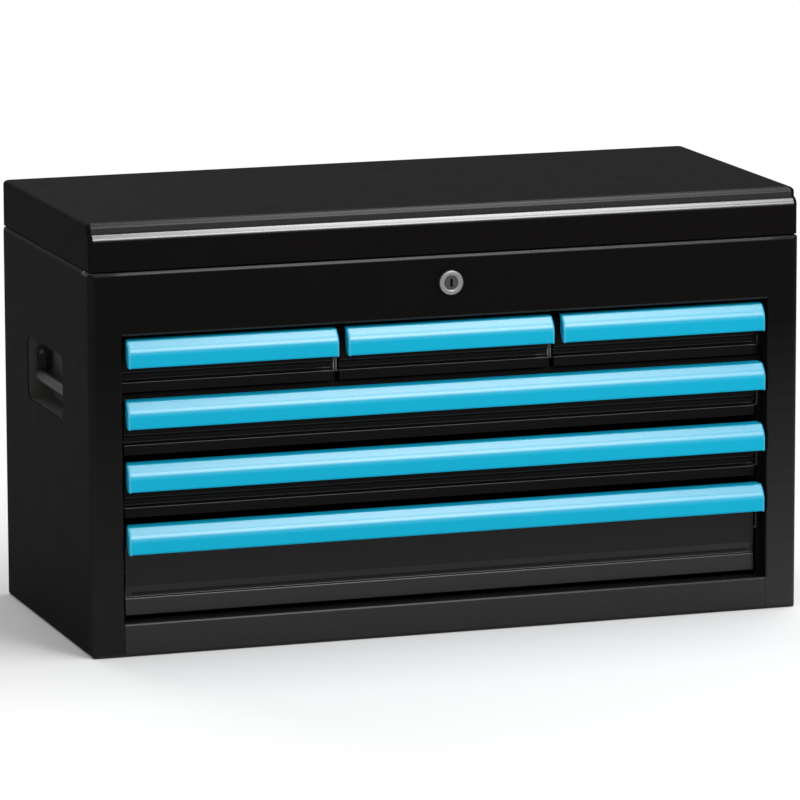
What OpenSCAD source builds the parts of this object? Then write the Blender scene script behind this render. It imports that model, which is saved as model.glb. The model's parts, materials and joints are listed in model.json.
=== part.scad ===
// Portable tool box: a steel cabinet with three small drawers over two wide ones and a deep one,
// a lidded tray on top, a cam lock in the front panel and a drop handle sunk in each side.
// Millimetres. +X is to the right, -Y is the front, +Z is up. The origin is the middle of the
// underside of the whole box, pulls and hinge included.

/* [Cabinet] */
// Width of the cabinet over its side panels
cab_w = 600; // [560:1:660]
// Depth of the cabinet from its front posts to its back
cab_d = 265; // [260:1:300]
// Thickness of the cabinet's steel sheet
sheet_t = 1; // [0.8:0.1:1.2]
// Width of the front posts beside the drawers
post_w = 27; // [24:1:34]
// How far the fold of a front post runs back
post_fold = 16; // [12:1:17]
// Outer radius of the upright corner bends
corner_r = 6; // [4:0.5:8]
// Outer radius of the shoulder bend under the lid
shoulder_r = 4; // [3:0.5:5]
// Outer radius of the bends along the base
base_r = 3; // [2:0.5:4]
// Outer radius of the tight folds around the drawer opening
fold_r = 2.5; // [1.5:0.5:3]
// Height of the rail under the drawers
rail_h = 27; // [22:1:34]
// Height of the lock panel over the drawers
header_h = 52; // [46:1:60]
// How far the lock panel's lower fold runs back
header_fold = 14; // [10:1:16]
// Width of the folds that close the sides at the back and below
side_flange = 20; // [15:1:26]

/* [Drawers] */
// Height of the three small drawer fronts
small_h = 44.5; // [42:0.5:52]
// Height of the two wide shallow drawer fronts
wide_h = 46; // [43:0.5:54]
// Height of the deep drawer front
deep_h = 74.5; // [60:0.5:90]
// Gap between drawer fronts, one over the other
front_gap = 4.5; // [4.2:0.1:7]
// Gap over the base rail and under the lock panel
edge_gap = 3.2; // [2:0.1:5]
// Gap between a wide drawer front and a post
side_gap = 5; // [4:0.5:8]
// Gap between two small drawer fronts
small_gap = 5; // [3:0.5:8]
// How far the drawer fronts sit behind the posts
front_recess = 16; // [14:0.5:17]
// Space between the backs of the drawer trays and the back of the cabinet
tray_space = 22; // [18:1:40]
// Height of the space from the top of a tray to the top of its front
tray_drop = 8.5; // [8:0.5:12]
// Height of a tray's floor over the lower edge of its front
tray_lift = 4; // [3:0.5:5]
// Width of the hem around a tray's mouth
tray_hem = 6; // [4:0.5:8]
// Height of the plain lip under a drawer front's pressed groove
groove_lip = 8; // [7:0.5:10]
// Height of the pressed groove
groove_h = 8; // [7:0.5:9]
// Depth of the pressed groove
groove_d = 2.5; // [1.5:0.5:3]

/* [Drawer pulls] */
// Height of a pull
pull_h = 22; // [20:0.5:24]
// Thickness of a pull's wall
pull_t = 2.2; // [1.8:0.1:2.6]
// How far a pull stands in front of the posts
pull_proud = 4.5; // [3:0.5:6]
// Height of a pull's sloping brow
pull_brow = 10.5; // [8:0.5:12]
// Depth of a pull's flat top
pull_top = 4; // [3.5:0.5:5]
// How far a wide drawer's pull is longer than its front at each end
pull_over = 2; // [1:0.5:2.5]
// Gap between the pulls of two small drawers
pull_gap = 7.5; // [6:0.5:12]
// Gap between a pull's flat top and the sheet of its drawer front
pull_back = 4; // [3:0.5:5]
// Thickness of a pull's closed ends
pull_end = 1.8; // [1.4:0.2:2.4]
// Depth of the lip along a pull's lower edge
pull_lip = 2.5; // [1.5:0.5:3.5]

/* [Ball runners] */
// Thickness of a runner, between cabinet and tray
runner_w = 10; // [10:0.5:12]
// Height of the runner's cabinet channel
runner_h = 27; // [26:0.5:29]
// How far the runners end before the backs of the trays
runner_short = 2.5; // [1:0.5:8]
// Thickness of the runner's steel
runner_t = 1.2; // [1:0.1:1.4]
// Height of the runner's tray channel
slider_h = 17; // [16:0.5:18]
// Depth of the runner's tray channel
slider_d = 7; // [6:0.5:7]
// Diameter of the balls
ball_d = 3.2; // [3:0.1:3.3]
// Balls in each row
balls = 5; // [3:1:7]
// Spacing of the balls
ball_pitch = 10; // [8:0.5:12]

/* [Lid] */
// Height of the lid over the cabinet's shoulder
lid_h = 38; // [34:1:50]
// Height of the raised panel's edge over the lid's ledge
panel_rise = 8; // [6:0.5:10]
// How far the raised panel is set back at the front
panel_set = 6; // [5:0.5:8]
// How far the raised panel is set in at the sides and the back
panel_side = 3; // [2.5:0.5:5]
// Bend radius of the raised panel's front edge
panel_r = 5; // [4:0.5:6]
// How far the lid's skirt is set in from the cabinet's front and sides
lid_inset = 1; // [0.5:0.1:2]
// Gap under the lid's skirt
lid_gap = 0.5; // [0.4:0.1:1]
// Width of the shoulder that the lid closes on
rim_w = 8; // [6:0.5:10]
// Height of the rim inside the lid
rim_h = 12; // [8:1:16]

/* [Hinge] */
// Outer radius of the hinge's knuckles
knuckle_r = 3; // [2.5:0.1:3.4]
// Radius of the hinge pin
hinge_pin_r = 1.5; // [1.2:0.1:1.8]
// Number of knuckles
knuckles = 15; // [9:2:21]
// Length of the hinge
hinge_l = 570; // [480:1:574]
// Height of a hinge leaf from the axis
leaf_h = 18; // [14:1:20]
// How far the hinge axis lies behind the back
hinge_back = 3.5; // [3.5:0.1:4.5]

/* [Lock] */
// Radius of the lock's bezel
bezel_r = 10.2; // [9.8:0.1:12]
// How far the bezel stands out
bezel_t = 3; // [2:0.5:4]
// Radius of the lock's threaded body
lock_r = 8; // [7:0.1:8.5]
// Radius of the turning plug
plug_r = 5.5; // [4.5:0.1:6]
// Length of the lock's body behind the panel
lock_l = 16; // [15:0.5:17]
// Thickness of the cam
cam_t = 2; // [1.5:0.5:2.5]
// Reach of the cam from the plug's axis
cam_reach = 24; // [23:0.5:26]
// Width of the cam
cam_w = 6; // [5:0.5:7]
// Reach of the cam's hook to the side
hook_reach = 12; // [10:0.5:13]
// Across flats of the lock's nut
nut_flats = 22; // [20:1:24]

/* [Side handles] */
// Length of a handle recess
cup_l = 108; // [100:1:120]
// Height of a handle recess
cup_h = 52; // [46:1:60]
// Depth of a handle recess
cup_d = 21; // [19:0.5:22]
// Corner radius of a handle recess
cup_r = 8; // [5:0.5:12]
// Height of the middle of a handle recess over the floor
cup_z = 205; // [180:1:215]
// How far the middle of a handle recess lies behind the middle of the side
cup_y = 2.5; // [-5:0.5:5]
// Radius of the grip
grip_r = 5; // [4:0.5:5.5]
// Reach of the bail from its pins to the middle of the grip
bail_reach = 19; // [17:0.5:20]
// Height of the bail's pins over the middle of the recess
bail_rise = 12; // [8:0.5:14]
// Radius of the bail's pins
bail_pin_r = 2; // [1.5:0.1:2.5]

/* [Hidden] */

$fn = 48;
black = [0.10, 0.095, 0.09];
inside_black = [0.16, 0.155, 0.15];
steel = [0.72, 0.73, 0.75];
zinc = [0.62, 0.64, 0.66];
pull_blue = [0.07, 0.64, 0.80];
handle_grey = [0.27, 0.27, 0.29];
over = 1;            // how far a cut runs past the face it opens
seam = 0.2;          // gap along a butted seam between two sheets
fit = 0.06;          // radial clearance of a turning fit
clear = 0.4;         // clearance of a part that moves past another
seat = 0.15;         // clearance round a part that is fixed in a hole
bond = 0.01;         // overlap that joins two shapes of one section

// Levels of the drawer fronts' lower edges, from the base rail up
deep_z = rail_h + edge_gap;
middle_z = deep_z + deep_h + front_gap;
upper_z = middle_z + wide_h + front_gap;
small_z = upper_z + wide_h + front_gap;
header_z = small_z + small_h + edge_gap;
cab_h = header_z + header_h;
lid_top = cab_h + lid_h;

// Front and back planes, with the pulls and the hinge centred on the origin
hinge_proud = hinge_back + knuckle_r;
front_y = (pull_proud - hinge_proud - cab_d) / 2;
back_y = front_y + cab_d;
half_w = cab_w / 2;
open_half = half_w - post_w;

// Faces that carry the runners
post_clear = 0.5;                       // runners stand this much inside the posts' folds
groove_clear = 1;                       // from the back of a pressed groove to the runners
runner_drop = 5;                        // least depth of a runner under its tray's mouth
post_end = 2;                           // how far a runner runs on past the rear post
shelf_drop = 2;                         // from the small drawer fronts down to their shelf
bay_half = open_half - post_clear;
tray_d = cab_d - front_recess - sheet_t - tray_space;
runner_l = tray_d - groove_d - groove_clear - runner_short;
front_w = 2 * (open_half - side_gap);
runner_y = front_y + front_recess + sheet_t + groove_d + groove_clear;
post_depth = 22;                        // size of a runner post from front to back
rear_post_y = runner_y + runner_l - post_depth - post_end;

// Small drawers, three alike between the posts
bay_pitch = 2 * open_half / 3;
small_w = bay_pitch - small_gap;
part_x = bay_pitch / 2;
part_t = sheet_t;
small_bay = bay_half - part_x - part_t / 2;
shelf_z = small_z - shelf_drop;         // top of the shelf under the small drawers
shelf_y = runner_y + 1;                 // its folded front stands just behind the runners' ends
shelf_d = runner_l;

// Ball runners: depths are measured from the tray's side outwards
cage_t = 0.6;
cage_in = slider_d + 0.5;               // the cage's web runs this far out, clear of the slider
cage_lip = 2;
race_z = (slider_h / 2 + runner_h / 2 - runner_t) / 2;
ball_u = slider_d - 2.5;                // depth of the balls' centres
runner_lip = 3.5;                       // how far the cabinet channel reaches in over the balls
cage_l = ball_pitch * balls;            // a drawer opens by 5 mm less than runner_l - cage_l
cage_y = runner_y + runner_l / 2;        // halfway, so that the cage keeps between both channels
notch = 0.06;                           // clearance of a ball in its cage

// Hinge
hinge_y = back_y + hinge_back;
hinge_rise = 1;                         // height of the hinge axis over the cabinet
hinge_z = cab_h + hinge_rise;
leaf_clear = 0.5;                       // from the other leaf's knuckles to a leaf's edge
leaf_lap = 1;                           // how far a knuckle's bridge runs on over its leaf
knuckle_l = hinge_l / knuckles;
knuckle_gap = 0.4;

// Lock
lock_rise = 0.555;                      // height of the lock up its panel, as a share of it
lock_z = header_z + header_h * lock_rise;
lock_back = front_y + sheet_t + lock_l;
cam_y = lock_back + 0.3;                // the cam turns just clear of the lock's body
cam_hook = 5;                           // width of the cam's hook
cam_square = 6;                         // side of the plug's square end
screw_r = 1.5;
screw_head_r = 5;
screw_head_t = 1.6;
screw_l = 5;                            // how far the screw runs into the plug
nut_t = 4;
strike_t = 1.5;
strike_in = 5;                          // side of the strike's hook nearest the plug's axis
strike_clear = 0.5;                     // from the ledge's corner to the hook as the cam turns
ledge_top = sqrt(pow(cam_reach - cam_hook - strike_clear, 2) - pow(hook_reach, 2));
strike_z = lock_z + ledge_top - strike_t;
strike_back = cam_y + cam_t + 2;        // the bracket hangs clear behind the cam

// Side handles
cup_wall = 1;
pin_x = half_w - cup_d / 2 + cup_wall / 2;
bail_t = 4;                             // thickness of the bail's arms
bail_end = 3;                           // from the recess's end to the bail's arm
bail_half = cup_l / 2 - bail_end;
arm_trim = 0.8;                         // the arms are this much slimmer than the grip, each side
pin_past = 2.5;                         // how far a pin runs out past the recess's end
bail_z = cup_z + bail_rise;
handle_y = front_y + cab_d / 2 + cup_y;

// Each drawer as [middle x, lower edge z, front height, front width, bay width, bay middle x,
// pull width]
function wide_drawer(z, h) = [0, z, h, front_w, 2 * bay_half, 0, front_w + 2 * pull_over];
function small_drawer(i) = [
    i * bay_pitch, small_z, small_h, small_w,
    i == 0 ? 2 * part_x - part_t : small_bay,
    i == 0 ? 0 : i * (part_x + part_t / 2 + small_bay / 2),
    bay_pitch - pull_gap
];
left_drawer = small_drawer(-1);
centre_drawer = small_drawer(0);
right_drawer = small_drawer(1);
upper_drawer = wide_drawer(upper_z, wide_h);
middle_drawer = wide_drawer(middle_z, wide_h);
deep_drawer = wide_drawer(deep_z, deep_h);
function mid_x(d) = d[0];
function low_z(d) = d[1];
function high_z(d) = d[1] + d[2];
function face_w(d) = d[3];
function bay_w(d) = d[4];
function bay_x(d) = d[5];
function pull_w(d) = d[6];
function tray_w(d) = bay_w(d) - 2 * runner_w;
function floor_z(d) = low_z(d) + tray_lift;
function mouth_z(d) = high_z(d) - tray_drop;
// The runner lies along the middle of a shallow tray and under the mouth of a deep one
function runner_z(d) = max((floor_z(d) + mouth_z(d)) / 2, mouth_z(d) - runner_h / 2 - runner_drop);

// ---- plain helpers ----

// A box between two corners
module block(low, high) {
    translate(low) cube(high - low);
}

// A rectangle with round corners, centred
module round_plate(w, d, r) {
    square([w - 2 * r, d], center = true);
    square([w, d - 2 * r], center = true);
    for (x = [-1, 1], y = [-1, 1])
        translate([x * (w / 2 - r), y * (d / 2 - r)]) circle(r);
}

// An upright section standing on y = low, with its own radii at the top and the bottom
module round_section(x0, x1, low, high, top_r, low_r) {
    translate([x0, low + low_r]) square([x1 - x0, high - low - low_r - top_r]);
    translate([x0 + low_r, low]) square([x1 - x0 - 2 * low_r, low_r + bond]);
    translate([x0 + top_r, high - top_r - bond]) square([x1 - x0 - 2 * top_r, top_r + bond]);
    for (x = [x0 + low_r, x1 - low_r])
        translate([x, low + low_r]) circle(low_r);
    for (x = [x0 + top_r, x1 - top_r])
        translate([x, high - top_r]) circle(top_r);
}

// Extrudes a section drawn as [y, z] along X, between two places
module along_x(x0, x1) {
    translate([x0, 0, 0]) rotate([90, 0, 90]) linear_extrude(x1 - x0) children();
}

// Extrudes a section drawn as [x, z] along Y, between two places
module along_y(y0, y1) {
    translate([0, y1, 0]) rotate([90, 0, 0]) linear_extrude(y1 - y0) children();
}

// A round bar along Y
module bar_y(r, x, z, y0, y1) {
    translate([x, y1, z]) rotate([90, 0, 0]) cylinder(r = r, h = y1 - y0);
}

// A round bar along X
module bar_x(r, y, z, x0, x1) {
    translate([x0, y, z]) rotate([0, 90, 0]) cylinder(r = r, h = x1 - x0);
}

// Both sides of the box
module both_sides() {
    children();
    mirror([1, 0, 0]) children();
}

// ---- cabinet ----

// The cabinet's outer form, or the same form drawn in by a sheet's thickness
module cabinet_form(inset) {
    intersection() {
        translate([0, front_y + cab_d / 2, inset])
            linear_extrude(cab_h - 2 * inset)
                round_plate(cab_w - 2 * inset, cab_d - 2 * inset, corner_r - inset);
        along_x(-half_w, half_w)
            round_section(front_y + inset, back_y - inset, inset, cab_h - inset,
                shoulder_r - inset, base_r - inset);
        along_y(front_y - over, back_y + over)
            round_section(-half_w + inset, half_w - inset, inset, cab_h - inset,
                shoulder_r - inset, base_r - inset);
    }
}

// The sheet skin, open at the top inside the shoulder
module cabinet_skin() {
    difference() {
        cabinet_form(0);
        cabinet_form(sheet_t);
        mouth(rim_w, cab_h - 2 * sheet_t, cab_h + over);
    }
}

// The space inside the rim, drawn in from the cabinet's outside
module mouth(inset, z0, z1) {
    translate([0, front_y + cab_d / 2, z0])
        linear_extrude(z1 - z0)
            round_plate(cab_w - 2 * inset, cab_d - 2 * inset, corner_r);
}

// The upstanding rim that the lid closes over
module rim() {
    difference() {
        mouth(rim_w, cab_h - sheet_t, cab_h + rim_h);
        mouth(rim_w + sheet_t, cab_h - 2 * sheet_t, cab_h + rim_h + over);
    }
}

// Right side, with its front post, its shoulder and its folds at the back and below
module side_panel() {
    // the post's face goes back as far as the rim inside the shoulder
    face_y = front_y + rim_w + sheet_t;
    difference() {
        union() {
            intersection() {
                cabinet_skin();
                union() {
                    block([open_half + fold_r, front_y - over, 0], [half_w, back_y + over, cab_h]);
                    block([open_half, front_y - over, 0], [half_w, face_y, rail_h]);
                    block([open_half, front_y - over, header_z], [half_w, face_y, cab_h]);
                }
            }
            post_edge();
            intersection() {
                rim();
                block([open_half, front_y, 0], [half_w, back_y, lid_top]);
            }
        }
        block([0, back_y - rim_w - 2 * sheet_t, -over],
            [half_w - side_flange, back_y + over, lid_top]);
        block([0, front_y + post_fold, -over],
            [half_w - side_flange, back_y + over, base_r]);
        handle_cutout();
    }
}

// The folded edge of the front post, along the drawer opening
module post_edge() {
    translate([0, 0, rail_h])
        linear_extrude(header_z - rail_h)
            intersection() {
                difference() {
                    translate([open_half + post_w, front_y + cab_d / 2])
                        round_plate(2 * post_w, cab_d, fold_r);
                    translate([open_half + post_w, front_y + cab_d / 2])
                        round_plate(2 * (post_w - sheet_t), cab_d - 2 * sheet_t, fold_r - sheet_t);
                }
                translate([open_half, front_y]) square([fold_r + 0.1, post_fold]);
            }
}

// The outline of the handle recess, cut through the side
module handle_cutout() {
    translate([half_w - cup_d, handle_y, cup_z])
        rotate([0, 90, 0])
            linear_extrude(cup_d + over)
                round_plate(cup_h, cup_l, cup_r);
}

module side_panel_right() {
    color(black) side_panel();
}

module side_panel_left() {
    color(black) mirror([1, 0, 0]) side_panel();
}

// Back sheet, stepped in at both edges to lap inside the folds of the sides
module back_panel() {
    edge = half_w - side_flange - seam;
    step_w = 6;
    lap_z0 = base_r + 4;
    lap_z1 = cab_h - shoulder_r - 4;
    color(black) {
        intersection() {
            union() {
                cabinet_skin();
                rim();
            }
            block([-edge, back_y - rim_w - 2 * sheet_t, base_r], [edge, back_y + over, lid_top]);
        }
        both_sides()
            block([edge - step_w / 2, back_y - 2 * sheet_t, lap_z0],
                [edge + side_flange / 2, back_y - sheet_t, lap_z1]);
        both_sides()
            block([edge - step_w, back_y - 2 * sheet_t, lap_z0],
                [edge, back_y - sheet_t / 2, lap_z1]);
    }
}

// Floor of the cabinet with the rail folded up at the front
module bottom_panel() {
    color(black) {
        along_x(-open_half + seam, open_half - seam)
            intersection() {
                difference() {
                    round_section(front_y, front_y + 3 * post_fold, 0, rail_h, fold_r, base_r);
                    round_section(front_y + sheet_t, front_y + 3 * post_fold - sheet_t,
                        sheet_t, rail_h - sheet_t, fold_r - sheet_t, base_r - sheet_t);
                }
                translate([front_y, 0]) square([post_fold, rail_h]);
            }
        block([-half_w + base_r, front_y + post_fold - 2, sheet_t],
            [half_w - base_r, back_y - base_r, 2 * sheet_t]);
        block([-open_half + seam, front_y + post_fold - 2, 0],
            [open_half - seam, front_y + post_fold, 2 * sheet_t]);
    }
}

// Lock panel between the posts, folded back below and along its shoulder
module front_header() {
    color(black)
        difference() {
            union() {
                along_x(-open_half + seam, open_half - seam)
                    intersection() {
                        difference() {
                            round_section(front_y, front_y + 3 * post_fold, header_z, cab_h,
                                shoulder_r, fold_r);
                            round_section(front_y + sheet_t, front_y + 3 * post_fold - sheet_t,
                                header_z + sheet_t, cab_h - sheet_t,
                                shoulder_r - sheet_t, fold_r - sheet_t);
                        }
                        union() {
                            translate([front_y, header_z]) square([header_fold, header_h / 2]);
                            translate([front_y, header_z]) square([rim_w, header_h]);
                        }
                    }
                intersection() {
                    rim();
                    block([-open_half + seam, front_y, 0],
                        [open_half - seam, front_y + rim_w + 2 * sheet_t, lid_top]);
                }
            }
            bar_y(lock_r + seat, 0, lock_z, front_y - over, front_y + sheet_t + over);
        }
}

// Floor of the top tray, a shallow pan inside the cabinet
module till_floor() {
    pan_h = 12;
    w = cab_w - 2 * sheet_t - 2 * seam;
    // the pan starts behind the bend of the lock panel's lower fold
    y0 = front_y + fold_r + seam;
    y1 = back_y - 2 * sheet_t - seam;
    color(inside_black)
        translate([0, (y0 + y1) / 2, header_z + sheet_t])
            difference() {
                linear_extrude(pan_h) round_plate(w, y1 - y0, corner_r);
                translate([0, 0, sheet_t])
                    linear_extrude(pan_h)
                        round_plate(w - 2 * sheet_t, y1 - y0 - 2 * sheet_t, corner_r - sheet_t);
            }
}

// Shelf under the small drawers, folded down at its front and its ends
module drawer_shelf() {
    skirt = 6;
    color(black) {
        block([-bay_half, shelf_y, shelf_z - sheet_t], [bay_half, shelf_y + shelf_d, shelf_z]);
        block([-bay_half, shelf_y, shelf_z - skirt], [bay_half, shelf_y + sheet_t, shelf_z]);
        both_sides()
            block([bay_half - sheet_t, shelf_y, shelf_z - skirt],
                [bay_half, shelf_y + shelf_d, shelf_z]);
    }
}

// Upright sheet between two small drawers, with its flanges
module partition() {
    flange = 8;
    z1 = header_z + sheet_t;
    color(black) {
        block([part_x - part_t / 2, shelf_y, shelf_z], [part_x + part_t / 2, shelf_y + shelf_d, z1]);
        block([part_x - part_t / 2, shelf_y, shelf_z],
            [part_x + flange, shelf_y + shelf_d, shelf_z + sheet_t / 2]);
        block([part_x - part_t / 2, shelf_y, z1 - sheet_t / 2],
            [part_x + flange, shelf_y + shelf_d, z1]);
    }
}

module partition_right() {
    partition();
}

module partition_left() {
    mirror([1, 0, 0]) partition();
}

// Upright channels that bring the runners in line with the posts' folds
module runner_posts() {
    wall = 1.2;
    x1 = half_w - sheet_t;
    color(black)
        both_sides()
            for (y = [runner_y, rear_post_y])
                difference() {
                    block([bay_half, y, base_r], [x1, y + post_depth, header_z + sheet_t]);
                    block([bay_half + wall, y + wall, 0],
                        [x1 + over, y + post_depth - wall, header_z + 3 * sheet_t]);
                }
}

// ---- ball runners ----

// Places a runner's right-hand half beside a tray, and its mirror image on the left:
// inside, x runs outwards from the tray's side and z is measured from the runner's middle
module beside_tray(d) {
    translate([bay_x(d), 0, runner_z(d)]) {
        translate([tray_w(d) / 2, 0, 0]) children();
        mirror([1, 0, 0]) translate([tray_w(d) / 2, 0, 0]) children();
    }
}

// The channel on the cabinet
module cabinet_runner() {
    difference() {
        block([ball_u - runner_lip, runner_y, -runner_h / 2],
            [runner_w, runner_y + runner_l, runner_h / 2]);
        block([-over, runner_y - over, -runner_h / 2 + runner_t],
            [runner_w - runner_t, runner_y + runner_l + over, runner_h / 2 - runner_t]);
    }
}

// The channel on the tray
module tray_slider() {
    difference() {
        block([0, runner_y, -slider_h / 2], [slider_d, runner_y + runner_l, slider_h / 2]);
        block([runner_t, runner_y - over, -slider_h / 2 + runner_t],
            [slider_d + over, runner_y + runner_l + over, slider_h / 2 - runner_t]);
    }
}

// Balls of one runner, in two rows
module runner_balls(r) {
    for (i = [0 : balls - 1], s = [-1, 1])
        translate([ball_u, cage_y + (i - (balls - 1) / 2) * ball_pitch, s * race_z])
            sphere(r, $fn = 24);
}

// The strip that spaces the balls
module ball_cage() {
    y0 = cage_y - cage_l / 2;
    difference() {
        block([ball_u - cage_lip, y0, -race_z - cage_t / 2],
            [cage_in + cage_t, y0 + cage_l, race_z + cage_t / 2]);
        block([ball_u - cage_lip - over, y0 - over, -race_z + cage_t / 2],
            [cage_in, y0 + cage_l + over, race_z - cage_t / 2]);
        runner_balls(ball_d / 2 + notch);
    }
    runner_balls(ball_d / 2);
}

module wide_cabinet_runners() {
    color(zinc)
        for (d = [upper_drawer, middle_drawer, deep_drawer])
            beside_tray(d) cabinet_runner();
}

module small_cabinet_runners() {
    color(zinc)
        for (d = [left_drawer, centre_drawer, right_drawer])
            beside_tray(d) cabinet_runner();
}

module drawer_sliders(d) {
    color(zinc) beside_tray(d) tray_slider();
}

module drawer_ball_cages(d) {
    color(steel) beside_tray(d) ball_cage();
}

// ---- drawers ----

// Sheet tray with a hemmed mouth; its front wall starts over the front's pressed groove
module drawer_tray(d) {
    w = tray_w(d);
    y0 = front_y + front_recess + sheet_t;
    y1 = y0 + tray_d;
    z0 = floor_z(d);
    z1 = mouth_z(d);
    t = 0.9;
    hem = 2 * t;
    color(inside_black)
        translate([bay_x(d), 0, 0])
            difference() {
                block([-w / 2, y0, z0], [w / 2, y1, z1]);
                block([-w / 2 + t, y0 + t, z0 + t], [w / 2 - t, y1 - t, z1 - tray_hem]);
                block([-w / 2 + hem, y0 + hem, z0 + t], [w / 2 - hem, y1 - hem, z1 + over]);
                block([-w / 2 - over, y0 - over, low_z(d) + groove_lip - clear],
                    [w / 2 + over, y0 + groove_d + clear, low_z(d) + groove_lip + groove_h + clear]);
            }
}

// The front's section: lip, pressed groove, flat face and the flange that carries the pull
module front_outline(h) {
    y = front_y + front_recess;
    g0 = groove_lip;
    g1 = groove_lip + groove_h;
    slope = groove_d * 0.9;     // the groove's sides lean a little
    bend = 0.4;                 // shift of a bend from the sheet's one face to the other
    top = h - pull_t;
    leg_y = front_y - pull_proud + pull_run() + brow_shift() + 0.1;
    leg_z = 7;                  // height of the flange's turned-down leg
    t = sheet_t;
    polygon([
        [y, 0], [y, g0], [y + groove_d, g0 + slope], [y + groove_d, g1 - slope], [y, g1],
        [y, top - t], [leg_y, top - t], [leg_y, top - leg_z], [leg_y - t, top - leg_z],
        [leg_y - t, top - t], [leg_y, top],
        [y + t, top], [y + t, g1 + bend], [y + groove_d + t, g1 - slope + bend],
        [y + groove_d + t, g0 + slope - bend], [y + t, g0 - bend], [y + t, 0]
    ]);
}

// A pull's front-to-back run from its face to the start of its flat top
function pull_run() = pull_proud + front_recess - pull_back - pull_top;
// Rise of the brow for each millimetre of run
function brow_slope() = pull_brow / pull_run();
// How far the bend inside the brow lies behind the bend outside it
function brow_shift() = pull_t * (sqrt(1 + pow(brow_slope(), 2)) - 1) / brow_slope();

module drawer_front(d) {
    color(black)
        translate([mid_x(d), 0, low_z(d)])
            along_x(-face_w(d) / 2, face_w(d) / 2)
                front_outline(high_z(d) - low_z(d));
}

// The pull's section, drawn from the top of the front downwards
module pull_outline() {
    y0 = front_y - pull_proud;
    y1 = y0 + pull_run();
    inner_y = y1 + brow_shift();
    inner_z = -pull_t - (inner_y - y0 - pull_t) * brow_slope();
    lip_t = 1.7;
    polygon([
        [y1 + pull_top, 0], [y1, 0], [y0, -pull_brow], [y0, -pull_h],
        [y0 + pull_t + pull_lip, -pull_h], [y0 + pull_t + pull_lip, -pull_h + lip_t],
        [y0 + pull_t, -pull_h + lip_t], [y0 + pull_t, inner_z],
        [inner_y, -pull_t], [y1 + pull_top, -pull_t]
    ]);
}

// The pull's closed end, in front of the flange that carries the pull
module pull_end_outline() {
    y0 = front_y - pull_proud;
    y1 = y0 + pull_run() + brow_shift() - sheet_t - clear;
    polygon([
        [y1, (y1 - y0) * brow_slope() - pull_brow - 0.5 * pull_t], [y0 + 0.5 * pull_t, -pull_brow],
        [y0 + 0.5 * pull_t, -pull_h], [y0 + pull_t + pull_lip, -pull_h], [y1, -pull_brow - pull_t]
    ]);
}

module drawer_pull(d) {
    x1 = pull_w(d) / 2;
    color(pull_blue)
        translate([mid_x(d), 0, high_z(d)]) {
            along_x(-x1, x1) pull_outline();
            along_x(-x1, -x1 + pull_end) pull_end_outline();
            along_x(x1 - pull_end, x1) pull_end_outline();
        }
}

// ---- lid ----

// A stepped lid section over z = 0: a ledge with a raised panel set in from both ends
module lid_section(x0, x1, set0, set1, r0, r1, inset) {
    h = lid_h - lid_gap;
    ledge = h - panel_rise;
    low = -over * (inset > 0 ? 1 : 0);
    translate([x0 + inset, low]) square([x1 - x0 - 2 * inset, ledge - set0 - low]);
    translate([x0 + set0, low]) square([x1 - x0 - set0 - set1, ledge - inset - low]);
    translate([x0 + set0, ledge - set0]) circle(set0 - inset);
    translate([x1 - set1, ledge - set1]) circle(set1 - inset);
    translate([(x0 + x1) / 2, low]) square([(x1 - x0) / 2 - inset, ledge - set1 - low]);
    translate([x0 + set0 + inset, low])
        square([x1 - x0 - set0 - set1 - 2 * inset, h - max(r0, r1) - low]);
    translate([x0 + set0 + r0, low]) square([x1 - x0 - set0 - set1 - r0 - r1, h - inset - low]);
    translate([x0 + set0 + r0, h - r0]) circle(r0 - inset);
    translate([x1 - set1 - r1, h - r1]) circle(r1 - inset);
    translate([(x0 + x1) / 2, low]) square([(x1 - x0) / 2 - set1 - inset, h - r1 - low]);
}

module lid_form(inset) {
    z0 = cab_h + lid_gap;
    y0 = front_y + lid_inset;
    x1 = half_w - lid_inset;
    side_r = panel_side;
    intersection() {
        translate([0, (y0 + back_y) / 2, z0 - (inset > 0 ? over : 0)])
            linear_extrude(lid_h + 2 * over)
                round_plate(2 * (x1 - inset), back_y - y0 - 2 * inset, corner_r - lid_inset - inset);
        translate([0, 0, z0]) along_x(-half_w, half_w)
            lid_section(y0, back_y, panel_set, panel_side, panel_r, side_r, inset);
        translate([0, 0, z0]) along_y(y0 - over, back_y + over)
            lid_section(-x1, x1, panel_side, panel_side, side_r, side_r, inset);
    }
}

module lid_shell() {
    color(black)
        difference() {
            lid_form(0);
            lid_form(sheet_t);
        }
}

// Bracket under the lid with the ledge that the cam's hook catches
module lid_strike() {
    x0 = -hook_reach;
    x1 = -strike_in;
    z1 = lid_top - sheet_t;
    ledge_y = cam_y - 1.5;      // the ledge reaches out in front of the cam
    flange = 12;
    ear = 6;
    color(zinc) {
        block([x0, strike_back, strike_z], [x1, strike_back + strike_t, z1]);
        block([x0, ledge_y, strike_z], [x1, strike_back + strike_t, strike_z + strike_t]);
        block([x0 - ear, strike_back, z1 - strike_t], [x1 + ear, strike_back + flange, z1]);
    }
}

// ---- hinge ----

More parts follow.
